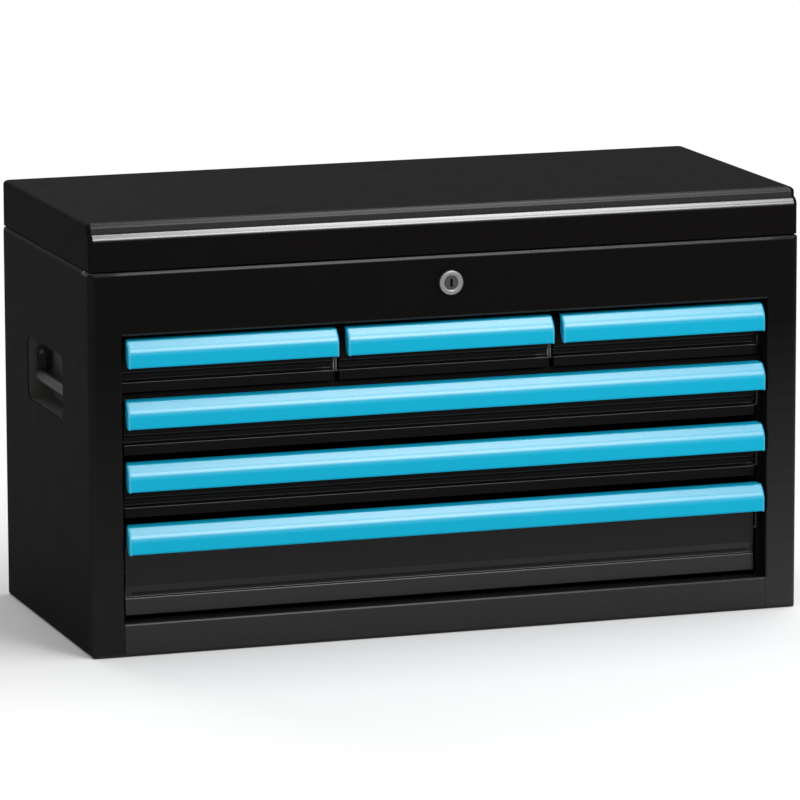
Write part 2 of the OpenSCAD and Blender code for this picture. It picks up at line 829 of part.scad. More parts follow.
// One leaf with its own knuckles: the first is number `first` and the rest follow by twos.
// The leaf rises above the axis when side is 1 and hangs below it when side is -1
module hinge_leaf(first, side) {
    z_near = knuckle_r + leaf_clear;
    // the lower leaf's knuckles leave room for the edge of the lid's skirt
    z_end = side > 0 ? 0 : cab_h + lid_gap - clear - hinge_z;
    difference() {
        union() {
            translate([0, 0, hinge_z])
                block([-hinge_l / 2, back_y, min(side * z_near, side * leaf_h)],
                    [hinge_l / 2, back_y + sheet_t, max(side * z_near, side * leaf_h)]);
            for (i = [first : 2 : knuckles - 1]) {
                x0 = -hinge_l / 2 + i * knuckle_l + knuckle_gap / 2;
                x1 = x0 + knuckle_l - knuckle_gap;
                translate([0, 0, hinge_z])
                    block([x0, back_y, min(z_end, side * (z_near + leaf_lap))],
                        [x1, back_y + sheet_t, max(z_end, side * (z_near + leaf_lap))]);
                bar_x(knuckle_r, hinge_y, hinge_z, x0, x1);
            }
        }
        bar_x(hinge_pin_r + fit, hinge_y, hinge_z, -hinge_l, hinge_l);
    }
}

module back_hinge_leaf() {
    color(zinc) hinge_leaf(0, -1);
}

module lid_hinge_leaf() {
    color(zinc) hinge_leaf(1, 1);
}

module hinge_pin() {
    color(steel) bar_x(hinge_pin_r, hinge_y, hinge_z, -hinge_l / 2, hinge_l / 2);
}

// ---- lock ----

module lock_housing() {
    color(steel)
        difference() {
            union() {
                bar_y(bezel_r, 0, lock_z, front_y - bezel_t, front_y);
                bar_y(lock_r, 0, lock_z, front_y - 0.1, lock_back);
            }
            bar_y(plug_r + fit, 0, lock_z, front_y - bezel_t - over, lock_back + over);
        }
}

module lock_nut() {
    color(zinc)
        difference() {
            translate([0, front_y + sheet_t + nut_t, lock_z])
                rotate([90, 0, 0]) cylinder(d = nut_flats / cos(30), h = nut_t, $fn = 6);
            bar_y(lock_r + seat, 0, lock_z, front_y, front_y + sheet_t + nut_t + over);
        }
}

module lock_plug() {
    key_w = 2;
    key_h = 6.5;
    key_l = 8;
    sunk = 0.6;                 // the plug's face lies this far inside the bezel's
    color(zinc)
        difference() {
            union() {
                bar_y(plug_r, 0, lock_z, front_y - bezel_t + sunk, cam_y);
                translate([-cam_square / 2, cam_y - 0.1, lock_z - cam_square / 2])
                    cube([cam_square, cam_t + 0.1, cam_square]);
            }
            translate([-key_w / 2, front_y - bezel_t - over, lock_z - key_h / 2])
                cube([key_w, key_l, key_h]);
            bar_y(screw_r + seat, 0, lock_z, cam_y - screw_l - over, cam_y + cam_t + over);
        }
}

// Hooked cam, drawn unlocked: its arm points to the right and its hook up
module lock_cam() {
    color(zinc)
        translate([0, 0, lock_z])
            difference() {
                union() {
                    along_y(cam_y, cam_y + cam_t) {
                        circle(cam_w);
                        translate([0, -cam_w / 2]) square([cam_reach, cam_w]);
                        translate([cam_reach - cam_hook, -cam_w / 2])
                            square([cam_hook, hook_reach + cam_w / 2]);
                    }
                }
                hole = cam_square + 2 * seat;
                translate([-hole / 2, cam_y - over, -hole / 2])
                    cube([hole, cam_t + 2 * over, hole]);
            }
}

module cam_screw() {
    color(steel) {
        bar_y(screw_head_r, 0, lock_z, cam_y + cam_t, cam_y + cam_t + screw_head_t);
        bar_y(screw_r, 0, lock_z, cam_y - screw_l, cam_y + cam_t + 0.1);
    }
}

// ---- side handles ----

// Sunken cup behind the cut-out in the side, with its flange behind the sheet
module handle_cup() {
    flange = 7;
    x_in = half_w - sheet_t;
    color(handle_grey)
        difference() {
            union() {
                translate([x_in - cup_d, handle_y, cup_z]) rotate([0, 90, 0])
                    linear_extrude(cup_d)
                        round_plate(cup_h + 2 * cup_wall, cup_l + 2 * cup_wall, cup_r + cup_wall);
                translate([x_in - cup_wall, handle_y, cup_z]) rotate([0, 90, 0])
                    linear_extrude(cup_wall)
                        round_plate(cup_h + 2 * flange, cup_l + 2 * flange, cup_r + flange);
            }
            translate([x_in - cup_d + cup_wall, handle_y, cup_z]) rotate([0, 90, 0])
                linear_extrude(cup_d + over)
                    round_plate(cup_h, cup_l, cup_r);
            for (s = [-1, 1]) {
                wall_y = handle_y + s * (cup_l + cup_wall) / 2;
                bar_y(bail_pin_r + seat / 2, pin_x, bail_z, wall_y - over, wall_y + over);
            }
        }
}

module handle_cup_right() {
    handle_cup();
}

module handle_cup_left() {
    mirror([1, 0, 0]) handle_cup();
}

// Bail that hangs in the cup: two arms and a round grip
module handle_bail() {
    z_grip = bail_z - bail_reach;
    arm_r = grip_r - arm_trim;
    color(handle_grey)
        difference() {
            union() {
                for (s = [-1, 1])
                    translate([0, handle_y + s * (bail_half - bail_t / 2) - bail_t / 2, 0]) {
                        block([pin_x - arm_r, 0, z_grip], [pin_x + arm_r, bail_t, bail_z]);
                        bar_y(arm_r, pin_x, bail_z, 0, bail_t);
                    }
                bar_y(grip_r, pin_x, z_grip, handle_y - bail_half, handle_y + bail_half);
            }
            bar_y(bail_pin_r + fit, pin_x, bail_z, handle_y - cup_l, handle_y + cup_l);
        }
}

module handle_bail_right() {
    handle_bail();
}

module handle_bail_left() {
    mirror([1, 0, 0]) handle_bail();
}

// Pins through the cup's end walls into the bail's arms
module handle_pins() {
    color(steel)
        both_sides()
            for (s = [-1, 1]) {
                y_in = handle_y + s * (bail_half - bail_t);
                y_out = handle_y + s * (cup_l / 2 + pin_past);
                bar_y(bail_pin_r, pin_x, bail_z, min(y_in, y_out), max(y_in, y_out));
            }
}

side_panel_left();
side_panel_right();
back_panel();
bottom_panel();
front_header();
till_floor();
drawer_shelf();
partition_left();
partition_right();
runner_posts();
wide_cabinet_runners();
small_cabinet_runners();
handle_cup_left();
handle_cup_right();
handle_bail_left();
handle_bail_right();
handle_pins();
lock_housing();
lock_nut();
lock_plug();
lock_cam();
cam_screw();
lid_shell();
lid_strike();
lid_hinge_leaf();
back_hinge_leaf();
hinge_pin();
drawer_tray(left_drawer);  // left_drawer_tray
drawer_front(left_drawer);  // left_drawer_front
drawer_pull(left_drawer);  // left_drawer_pull
drawer_sliders(left_drawer);  // left_drawer_sliders
drawer_ball_cages(left_drawer);  // left_drawer_ball_cages
drawer_tray(centre_drawer);  // centre_drawer_tray
drawer_front(centre_drawer);  // centre_drawer_front
drawer_pull(centre_drawer);  // centre_drawer_pull
drawer_sliders(centre_drawer);  // centre_drawer_sliders
drawer_ball_cages(centre_drawer);  // centre_drawer_ball_cages
drawer_tray(right_drawer);  // right_drawer_tray
drawer_front(right_drawer);  // right_drawer_front
drawer_pull(right_drawer);  // right_drawer_pull
drawer_sliders(right_drawer);  // right_drawer_sliders
drawer_ball_cages(right_drawer);  // right_drawer_ball_cages
drawer_tray(upper_drawer);  // upper_drawer_tray
drawer_front(upper_drawer);  // upper_drawer_front
drawer_pull(upper_drawer);  // upper_drawer_pull
drawer_sliders(upper_drawer);  // upper_drawer_sliders
drawer_ball_cages(upper_drawer);  // upper_drawer_ball_cages
drawer_tray(middle_drawer);  // middle_drawer_tray
drawer_front(middle_drawer);  // middle_drawer_front
drawer_pull(middle_drawer);  // middle_drawer_pull
drawer_sliders(middle_drawer);  // middle_drawer_sliders
drawer_ball_cages(middle_drawer);  // middle_drawer_ball_cages
drawer_tray(deep_drawer);  // deep_drawer_tray
drawer_front(deep_drawer);  // deep_drawer_front
drawer_pull(deep_drawer);  // deep_drawer_pull
drawer_sliders(deep_drawer);  // deep_drawer_sliders
drawer_ball_cages(deep_drawer);  // deep_drawer_ball_cages
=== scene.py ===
# %% [markdown]
# # Dressing a portable tool box with drawers
#
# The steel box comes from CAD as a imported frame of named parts, each already at its real size and in
# its real place. Blender adds what CAD leaves plain: paint with its fine texture, bends that catch
# the light, plated fittings, rivets and weld marks. Nothing here moves or resizes a CAD part. Where
# a part's bends matter to its look, a new piece stands in for it, inside the same outer box.
#
# Lengths are in metres. +X is to the right, -Y is the front and +Z is up, as in the frame.

# %% Load the frame
import json
import math

import bmesh
import bpy
from mathutils import Matrix, Vector


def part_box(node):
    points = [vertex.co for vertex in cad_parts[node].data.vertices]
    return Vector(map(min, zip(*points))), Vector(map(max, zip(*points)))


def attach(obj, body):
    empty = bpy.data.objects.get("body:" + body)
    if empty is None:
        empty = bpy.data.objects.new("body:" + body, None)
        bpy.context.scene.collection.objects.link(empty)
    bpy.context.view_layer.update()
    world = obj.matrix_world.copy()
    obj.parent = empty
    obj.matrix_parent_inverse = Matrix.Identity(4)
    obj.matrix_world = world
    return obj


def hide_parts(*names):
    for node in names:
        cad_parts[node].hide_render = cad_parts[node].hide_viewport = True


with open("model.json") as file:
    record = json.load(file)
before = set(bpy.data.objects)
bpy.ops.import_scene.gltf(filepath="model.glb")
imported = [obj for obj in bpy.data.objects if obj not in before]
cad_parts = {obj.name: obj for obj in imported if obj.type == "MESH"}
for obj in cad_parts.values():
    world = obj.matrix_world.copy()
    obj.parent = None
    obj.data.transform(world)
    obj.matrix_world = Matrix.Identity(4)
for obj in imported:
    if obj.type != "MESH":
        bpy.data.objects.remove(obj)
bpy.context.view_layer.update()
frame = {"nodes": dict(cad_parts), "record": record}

MM = 0.001

# %% [markdown]
# ## The camera
#
# A long lens from five metres away keeps upright edges almost parallel. The direction is given as
# three plain turns: how far the view swings to the right, how far it looks down, and a small tilt.
# They are multiplied as matrices, because the order of the turns matters and is then easy to read.
# The sensor's width and the focal length are in millimetres, as Blender's camera takes them.

# %% Camera
eye = Vector((-1.561, -4.696, 1.080))
swing_right = math.radians(18.404)
look_down = math.radians(10.443)
tilt = math.radians(-0.178)
sensor_width, focal_length = 36, 275.1

camera = bpy.data.objects.new("camera", bpy.data.cameras.new("camera"))
bpy.context.scene.collection.objects.link(camera)
camera.data.sensor_width = sensor_width
camera.data.lens = focal_length
camera.matrix_world = (
    Matrix.Translation(eye)
    @ Matrix.Rotation(-swing_right, 4, "Z")
    @ Matrix.Rotation(math.pi / 2 - look_down, 4, "X")
    @ Matrix.Rotation(tilt, 4, "Z")
)
bpy.context.scene.camera = camera
print("camera is", round(eye.length, 2), "m from the middle of the base")

# %% [markdown]
# ## Building a material from a few plain words
#
# Every finish here is the same chain: fine noise shifts the colour and the roughness a little, and
# finer noise raises a bump. Real powder coat has an orange-peel skin about a millimetre across, and
# rolled or plated steel has streaks, which are the same noise stretched along one axis. Object
# coordinates are in metres and stay with the part, so the texture keeps its real scale.
#
# Paint is polished by hands and cloths where the sheet bends, and it is first to chip there. The
# pieces made below carry an attribute named `edge`, mostly 0 on a flat and up to 1 on a bend. It
# drives a clear coat for the polish and lets a few worn specks of a paler colour through. On some
# flats it is raised by place instead, such as the feet of the front posts, the base sheet, the drawer
# fronts and the pulls' ends, so that they mirror more of the pale floor and the white around: there
# the coat is painted reflection. A part that comes straight from CAD has no such attribute, which
# reads as 0 and gives plain paint.

# %% A helper for finishes
speck_size = 1.6 * MM
speck_from, speck_full = 0.66, 0.74
cloud_grains, sheen_grains = 40, 12
skin_depth = 0.05 * MM


def surface(
    name, colour, rough, grain, spread=0.06, stretch=(1, 1, 1), bump=0.1, worn=None, **fixed
):
    """A procedural finish: grain is the size of its texture, spread how far its values stray."""
    finish = bpy.data.materials.new(name)
    finish.use_nodes = True
    nodes, links = finish.node_tree.nodes, finish.node_tree.links
    shader = nodes["Principled BSDF"]
    for socket, value in fixed.items():
        shader.inputs[socket.replace("_", " ")].default_value = value

    place = nodes.new("ShaderNodeTexCoord")
    mapping = nodes.new("ShaderNodeMapping")
    mapping.inputs["Scale"].default_value = stretch
    links.new(place.outputs["Object"], mapping.inputs["Vector"])

    def noise(size, detail):
        texture = nodes.new("ShaderNodeTexNoise")
        texture.inputs["Scale"].default_value = 1 / size
        texture.inputs["Detail"].default_value = detail
        links.new(mapping.outputs["Vector"], texture.inputs["Vector"])
        return texture.outputs["Fac"]

    cloudy = noise(cloud_grains * grain, 4)
    tint = nodes.new("ShaderNodeMix")
    tint.data_type = "RGBA"
    tint.inputs["A"].default_value = (*[c * (1 - spread) for c in colour], 1)
    tint.inputs["B"].default_value = (*[min(1, c * (1 + spread)) for c in colour], 1)
    links.new(cloudy, tint.inputs["Factor"])
    links.new(tint.outputs["Result"], shader.inputs["Base Color"])

    if worn:
        edge = nodes.new("ShaderNodeAttribute")
        edge.attribute_name = "edge"
        links.new(edge.outputs["Fac"], shader.inputs["Coat Weight"])
        specks = nodes.new("ShaderNodeMapRange")
        specks.inputs["From Min"].default_value = speck_from
        specks.inputs["From Max"].default_value = speck_full
        links.new(noise(speck_size, 3), specks.inputs["Value"])
        here = nodes.new("ShaderNodeMath")
        here.operation = "MULTIPLY"
        links.new(specks.outputs["Result"], here.inputs[0])
        links.new(edge.outputs["Fac"], here.inputs[1])
        chip = nodes.new("ShaderNodeMix")
        chip.data_type = "RGBA"
        chip.inputs["B"].default_value = (*worn, 1)
        links.new(here.outputs["Value"], chip.inputs["Factor"])
        links.new(tint.outputs["Result"], chip.inputs["A"])
        links.new(chip.outputs["Result"], shader.inputs["Base Color"])

    sheen = nodes.new("ShaderNodeMapRange")
    sheen.inputs["To Min"].default_value = rough - spread
    sheen.inputs["To Max"].default_value = rough + spread
    links.new(noise(sheen_grains * grain, 3), sheen.inputs["Value"])
    links.new(sheen.outputs["Result"], shader.inputs["Roughness"])

    skin = nodes.new("ShaderNodeBump")
    skin.inputs["Strength"].default_value = bump
    skin.inputs["Distance"].default_value = skin_depth
    links.new(noise(grain, 2), skin.inputs["Height"])
    links.new(skin.outputs["Normal"], shader.inputs["Normal"])
    return finish


print("worn specks come from noise", round(speck_size / MM, 1), "mm across")

# %% [markdown]
# ## The finishes
#
# The case is black powder coat, the pulls are satin blue, and the fittings are plated steel. Black
# is never zero. The paint here returns about half a percent of the light. That is less than fresh
# powder coat does, and makes up for the white all round, which a dark studio would not have. A
# metal's colour sets how bright its mirrored surroundings look, so the lock's plug is dark by colour.

# %% Make the finishes
finishes = {
    "black_paint": surface(
        "black_powder_coat", (0.0054, 0.005, 0.0048), 0.6, 1.1 * MM, bump=0.3,
        worn=(0.05, 0.05, 0.05), Specular_IOR_Level=0.008, Coat_IOR=1.7, Coat_Roughness=0.26,
    ),
    "lid_paint": surface(
        "black_lid_coat", (0.0058, 0.0051, 0.0050), 0.6, 1.1 * MM, bump=0.3,
        worn=(0.05, 0.05, 0.05), Specular_IOR_Level=0.005, Coat_IOR=2.0, Coat_Roughness=0.24,
    ),
    "inside_paint": surface(
        "satin_black", (0.013, 0.0125, 0.0125), 0.6, 0.9 * MM, bump=0.3, worn=(0.06, 0.06, 0.06),
        Specular_IOR_Level=0.04, Coat_IOR=1.5, Coat_Roughness=0.3,
    ),
    # This zinc is far darker than bright plate, so the runners seen in the gaps stay dark: painted
    # shade, shared by the hinge and other zinc parts.
    "zinc_plate": surface(
        "zinc_plate", (0.14, 0.145, 0.155), 0.42, 0.5 * MM, stretch=(0.12, 1, 1), Metallic=1.0
    ),
    "bright_steel": surface(
        "ground_steel", (0.50, 0.51, 0.53), 0.26, 0.4 * MM, stretch=(0.1, 1, 1), Metallic=1.0
    ),
    "chrome": surface(
        "satin_nickel", (0.24, 0.24, 0.245), 0.42, 0.4 * MM, spread=0.04, stretch=(1, 0.1, 1),
        Metallic=1.0,
    ),
    "lock_core": surface(
        "dark_steel", (0.07, 0.07, 0.073), 0.38, 0.4 * MM, stretch=(1, 0.1, 1), Metallic=1.0
    ),
    "handle_cup_finish": surface(
        "dark_grey_cup", (0.052, 0.052, 0.049), 0.55, 0.8 * MM, bump=0.3, worn=(0.07, 0.07, 0.07),
        Specular_IOR_Level=0.05, Coat_IOR=1.5, Coat_Roughness=0.3,
    ),
    "handle_grip_finish": surface(
        "grey_grip", (0.021, 0.020, 0.022), 0.5, 0.7 * MM, bump=0.3, worn=(0.09, 0.09, 0.09),
        Specular_IOR_Level=0.08, Coat_IOR=1.5, Coat_Roughness=0.3,
    ),
    "blue_pull": surface(
        "satin_blue", (0.005, 0.385, 0.585), 0.5, 0.6 * MM, spread=0.03, bump=0.12,
        worn=(0.10, 0.52, 0.70), Specular_IOR_Level=0.06, Coat_IOR=1.75, Coat_Roughness=0.28,
    ),
}
print("finishes:", ", ".join(sorted(finishes)))

# %% Paint the CAD parts
slot_of = {part["node"]: part["material_slot"] for part in frame["record"]["subparts"]}
for name, part in frame["nodes"].items():
    if not part.material_slots:
        part.data.materials.append(None)
    for slot in part.material_slots:
        slot.link = "OBJECT"
        slot.material = finishes[slot_of[name]]
frame["nodes"]["lock_plug"].material_slots[0].material = finishes["lock_core"]
print("painted", len(slot_of), "CAD parts")

# %% [markdown]
# ## A folded sheet, from its section
#
# A pull and a drawer front are each one section carried along the whole width, so their shape is a
# rule: draw the section once, round each corner by its own bend, and extrude it. Modelling each by
# hand would repeat that six times. The node tree below does it for any section. A corner's bend
# radius travels with it as an attribute named `bend`.

# %% The node tree for a folded section
weld_within = 0.001 * MM


def folded_section():
    tree = bpy.data.node_groups.new("folded_section", "GeometryNodeTree")
    sockets = {}
    for label, kind in (
        ("Section", "Geometry"), ("Length", "Float"), ("Steps in a bend", "Int"),
        ("Finish", "Material"),
    ):
        sockets[label] = tree.interface.new_socket(
            label, in_out="INPUT", socket_type=f"NodeSocket{kind}"
        ).identifier
    tree.interface.new_socket("Sheet", in_out="OUTPUT", socket_type="NodeSocketGeometry")

    add, link = tree.nodes.new, tree.links.new
    given, made = add("NodeGroupInput"), add("NodeGroupOutput")
    outline = add("GeometryNodeMeshToCurve")
    bend = add("GeometryNodeInputNamedAttribute")
    bend.data_type = "FLOAT"
    bend.inputs["Name"].default_value = "bend"
    fillet = add("GeometryNodeFilletCurve")
    fillet.mode = "POLY"
    fillet.inputs["Limit Radius"].default_value = True
    fill = add("GeometryNodeFillCurve")
    fill.mode = "TRIANGLES"
    extrude = add("GeometryNodeExtrudeMesh")
    extrude.inputs["Individual"].default_value = False
    along = add("ShaderNodeCombineXYZ")
    flip = add("GeometryNodeFlipFaces")
    both = add("GeometryNodeJoinGeometry")
    weld = add("GeometryNodeMergeByDistance")
    weld.inputs["Distance"].default_value = weld_within
    half = add("ShaderNodeMath")
    half.operation = "MULTIPLY"
    half.inputs[1].default_value = -0.5
    shift = add("ShaderNodeCombineXYZ")
    turn = add("GeometryNodeTransform")
    turn.inputs["Rotation"].default_value = (math.pi / 2, 0, math.pi / 2)
    real = add("GeometryNodeRealizeInstances")
    coat = add("GeometryNodeSetMaterial")

    link(given.outputs["Section"], outline.inputs["Mesh"])
    link(outline.outputs["Curve"], fillet.inputs["Curve"])
    link(bend.outputs["Attribute"], fillet.inputs["Radius"])
    link(given.outputs["Steps in a bend"], fillet.inputs["Count"])
    link(fillet.outputs["Curve"], fill.inputs["Curve"])
    link(fill.outputs["Mesh"], extrude.inputs["Mesh"])
    link(given.outputs["Length"], along.inputs["Z"])
    link(along.outputs["Vector"], extrude.inputs["Offset"])
    link(fill.outputs["Mesh"], flip.inputs["Mesh"])
    link(extrude.outputs["Mesh"], both.inputs["Geometry"])
    link(flip.outputs["Mesh"], both.inputs["Geometry"])
    link(both.outputs["Geometry"], weld.inputs["Geometry"])
    link(weld.outputs["Geometry"], turn.inputs["Geometry"])
    link(given.outputs["Length"], half.inputs[0])
    link(half.outputs["Value"], shift.inputs["X"])
    link(shift.outputs["Vector"], turn.inputs["Translation"])
    link(turn.outputs["Geometry"], real.inputs["Geometry"])
    link(real.outputs["Geometry"], coat.inputs["Geometry"])
    link(given.outputs["Finish"], coat.inputs["Material"])
    link(coat.outputs["Geometry"], made.inputs["Sheet"])
    return tree, sockets


section_tree, section_sockets = folded_section()
print("folded_section takes", ", ".join(section_sockets))


# %% Turn a node tree's result into a plain mesh
def plain_mesh(start, tree, values):
    """Runs a tree on a starting mesh and returns the result as a mesh with nothing live in it."""
    holder = bpy.data.objects.new("holder", start)
    bpy.context.scene.collection.objects.link(holder)
    live = holder.modifiers.new("tree", "NODES")
    live.node_group = tree
    for identifier, value in values.items():
        live[identifier] = value
    graph = bpy.context.evaluated_depsgraph_get()
    mesh = bpy.data.meshes.new_from_object(holder.evaluated_get(graph))
    bpy.data.objects.remove(holder)
    return mesh


def swept(corners, length, finish, middle, steps=5):
    """Extrudes a section, given as (y, z, bend) corners, along X about a middle."""
    mesh = bpy.data.meshes.new("section")
    count = len(corners)
    mesh.from_pydata(
        [(y, z, 0) for y, z, _ in corners], [(i, (i + 1) % count) for i in range(count)], []
    )
    bends = mesh.attributes.new("bend", "FLOAT", "POINT")
    bends.data.foreach_set("value", [bend for _, _, bend in corners])
    sheet = plain_mesh(mesh, section_tree, {
        section_sockets["Length"]: length,
        section_sockets["Steps in a bend"]: steps,
        section_sockets["Finish"]: finish,
    })
    sheet.transform(Matrix.Translation((middle, 0, 0)))
    return sheet


# %% [markdown]
# ## Bends that catch the light
#
# A folded sheet shows its bends as soft light lines, and its flats stay even. Two things give that.
# Weighted normals let the large flat faces set the shading, so it turns only inside a bend. And the
# `edge` attribute is worked out from each face's own direction: a face along an axis is a flat, and
# one that leans is part of a bend. It could be painted by hand, but a rule follows the shapes when
# they change. Upright bends are handled less, so they get a share of it.

# %% The edge attribute
lean_from, lean_full = math.radians(3), math.radians(20)
upright_share = 0.1


def shine(bend, flat=0.0):
    """The same coat all over a piece: its weight on a full bend and on a flat."""
    return lambda spot: (bend, flat)


def mark_bends(mesh, coat_at):
    """Writes `edge` on a mesh's faces; coat_at gives the weights on a bend and a flat at a spot."""
    values = []
    for face in mesh.polygons:
        bend, flat = coat_at(face.center)
        along = max(abs(part) for part in face.normal)
        lean = math.acos(min(1.0, along))
        share = min(1.0, max(0.0, (lean - lean_from) / (lean_full - lean_from)))
        if abs(face.normal.z) < math.sin(lean_from):
            share *= upright_share
        values.append(flat + (bend - flat) * share)
    mesh.attributes.new("edge", "FLOAT", "FACE").data.foreach_set("value", values)


# %% Join meshes into one finished piece
smooth_below = math.radians(32)


def piece(name, meshes, finish, body, stands_for=(), coat_at=shine(1)):
    """One object at the origin from several meshes, facing outwards, riding on its body."""
    joined = bmesh.new()
    for mesh in meshes:
        joined.from_mesh(mesh)
    bmesh.ops.recalc_face_normals(joined, faces=joined.faces)
    result = bpy.data.meshes.new(name)
    joined.to_mesh(result)
    joined.free()
    result.materials.clear()
    result.materials.append(finish)
    result.shade_smooth()
    result.set_sharp_from_angle(angle=smooth_below)
    mark_bends(result, coat_at)
    made = bpy.data.objects.new(name, result)
    bpy.context.scene.collection.objects.link(made)
    even = made.modifiers.new("even", "WEIGHTED_NORMAL")
    even.keep_sharp = True
    graph = bpy.context.evaluated_depsgraph_get()
    made.data = bpy.data.meshes.new_from_object(made.evaluated_get(graph))
    made.modifiers.clear()
    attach(made, body)
    if stands_for:
        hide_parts(*stands_for)
    return made


# %% [markdown]
# ## The painted sheets
#
# The cabinet's sheets already have their true shape in CAD, bends included. A CAD part arrives as
# loose triangles, so its bends are faceted. Each sheet is copied, its loose corners are merged, and
# the copy stands in for the CAD part, which lets its bends shade smoothly and carry the attribute.
# They could be swept from sections instead, but their holes would have to be cut again. The side
# sheets are also cut along a few planes. The front posts can then take a coat that is strongest at
# their feet and fades out higher up and round the bend, stronger on the right post: a painted
# reflection of the pale floor.

# %% Copy the sheets
def merged(node, cuts=()):
    """A copy of a CAD part's mesh with loose corners joined, cut along (point, normal) planes."""
    copy = bmesh.new()
    copy.from_mesh(frame["nodes"][node].data)
    bmesh.ops.remove_doubles(copy, verts=copy.verts, dist=weld_within)
    for point, normal in cuts:
        bmesh.ops.bisect_plane(
            copy, geom=[*copy.verts, *copy.edges, *copy.faces], dist=weld_within,
            plane_co=point, plane_no=normal,
        )
    mesh = bpy.data.meshes.new(node)
    copy.to_mesh(mesh)
    copy.free()
    return mesh


side_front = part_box("side_panel_left")[0].y
side_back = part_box("side_panel_left")[1].y
post_depth, corner_depth, post_bend = 20 * MM, 6 * MM, 6 * MM
post_gloss, side_gloss, corner_gloss = 0.35, 0.04, 1.0
# The front posts' coat grows towards their feet below this height, more on the right post: painted
# reflection of the floor.
painted_reflection_top, left_painted_reflection, right_painted_reflection = 240 * MM, 0.16, 0.45
first_cut, cut_step, cut_count = 8 * MM, 12 * MM, 20
side_cuts = [((0, 0, first_cut + cut_step * i), (0, 0, 1)) for i in range(cut_count)]
side_cuts += [
    ((0, y, 0), (0, 1, 0)) for y in (side_front + post_depth, side_back - corner_depth)
]


def side_shine(spot):
    """Dull side bends, glossier post bend and rear corner, painted floor reflection on the post's
    foot.
    """
    if spot.y < side_front + post_depth:
        # Painted reflection of the floor: the coat on the post's face grows towards its foot and front
        # edge.
        low_share = max(0.0, 1 - spot.z / painted_reflection_top)
        front_share = max(0.0, 1 - (spot.y - side_front) / post_bend)
        painted_reflection = right_painted_reflection if spot.x > 0 else left_painted_reflection
        return post_gloss, painted_reflection * low_share * front_share
    return (corner_gloss if spot.y > side_back - corner_depth else side_gloss), 0.0


for name, node, cuts, coat_at in (
    ("left_side", "side_panel_left", side_cuts, side_shine),
    ("right_side", "side_panel_right", side_cuts, side_shine),
    ("lock_panel", "front_header", (), shine(0.3)),
    # The base sheet's flats get more coat than its bends, so they mirror more of the floor: painted
    # reflection.
    ("base_sheet", "bottom_panel", (), shine(0.3, 0.42)),
    ("back_sheet", "back_panel", (), shine(0.35)),
):
    made = piece(
        name, [merged(node, cuts)], finishes["black_paint"], "cabinet", [node],
        coat_at,
    )
    print(made.name, len(made.data.polygons), "faces")


# %% [markdown]
# ## The pressed lid
#
# The lid is one sheet drawn in a press. Its sides and back rise straight and turn over in one small
# bend. Its front has two: the skirt turns over in a broad bend, and the raised top is set back
# behind it. A bevelled box would give every edge the same bend. At any height the lid is a rectangle
# with rounded corners, so the sheet is made as rings stacked from its foot to its top: one stack for
# the outer face and one a sheet's thickness inside it.

# %% Lid sizes
lid_sheet = 1 * MM
skirt_bend = 6 * MM
panel_rise = 8 * MM
panel_bend = 5 * MM
side_bend = 3.5 * MM
lid_corner = 3.5 * MM
bend_steps, corner_steps = 10, 6
lid_low, lid_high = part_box("lid_shell")
ledge_z = lid_high.z - panel_rise
print("the lid is", round((lid_high.z - lid_low.z) / MM, 1), "mm high")


# %% The heights and set-backs of the rings
def lid_levels(inset):
    """(height, set-back at the front, set-in at the other sides) from the foot to the top."""
    levels = [(lid_low.z, inset)]
    for foot, behind, bend in (
        (ledge_z - skirt_bend, skirt_bend, skirt_bend),
        (lid_high.z - panel_bend, skirt_bend + panel_bend, panel_bend),
    ):
        for step in range(bend_steps + 1):
            turn = math.pi / 2 * step / bend_steps
            reach = bend - inset
            levels.append((foot + reach * math.sin(turn), behind - reach * math.cos(turn)))
    result = []
    for z, front in levels:
        over = max(0.0, z - (lid_high.z - side_bend))
        reach = side_bend - inset
        result.append((z, front, side_bend - math.sqrt(max(0.0, reach * reach - over * over))))
    return result


# %% Stack the rings
def lid_ring(solid, z, front, side, corner):
    """The rounded rectangle of one level, as a loop of corners."""
    right, left = lid_high.x - side - corner, lid_low.x + side + corner
    near, far = lid_low.y + front + corner, lid_high.y - side - corner
    loop = []
    for quarter, (x, y) in enumerate(((right, far), (left, far), (left, near), (right, near))):
        for step in range(corner_steps + 1):
            turn = math.pi / 2 * (quarter + step / corner_steps)
            away_x, away_y = corner * math.cos(turn), corner * math.sin(turn)
            loop.append(solid.verts.new((x + away_x, y + away_y, z)))
    return loop


def pressed_lid():
    """The lid's sheet: its outer rings, its inner rings, both tops and the rim at its foot."""
    solid = bmesh.new()
    stacks = []
    for inset in (0.0, lid_sheet):
        rings = [lid_ring(solid, *level, lid_corner - inset) for level in lid_levels(inset)]
        stacks.append(rings)
        solid.faces.new(rings[-1])
    for lower, upper in [pair for rings in stacks for pair in zip(rings, rings[1:])] + [
        (stacks[0][0], stacks[1][0])
    ]:
        for i in range(len(lower)):
            after = (i + 1) % len(lower)
            solid.faces.new([lower[i], lower[after], upper[after], upper[i]])
    bmesh.ops.remove_doubles(solid, verts=solid.verts, dist=weld_within)
    bmesh.ops.recalc_face_normals(solid, faces=solid.faces)
    mesh = bpy.data.meshes.new("pressed_lid")
    solid.to_mesh(mesh)
    solid.free()
    return mesh


# %% Make the lid
skirt_gloss, panel_gloss, ledge_gloss = 1.0, 0.16, 0.25
below_ledge = 0.1 * MM


def lid_shine(spot):
    """The front edge of the skirt is the glossiest line; the panel's edge over it is softer."""
    at_front = spot.y <= lid_low.y + skirt_bend + panel_bend
    if not at_front or abs(spot.x) > lid_high.x - lid_corner:
        return 0.0, 0.0
    return (skirt_gloss, 0.0) if spot.z < ledge_z - below_ledge else (panel_gloss, ledge_gloss)


made = piece(
    "lid", [pressed_lid()], finishes["lid_paint"], "lid", ["lid_shell"], lid_shine
)
print(made.name, len(made.data.polygons), "faces")
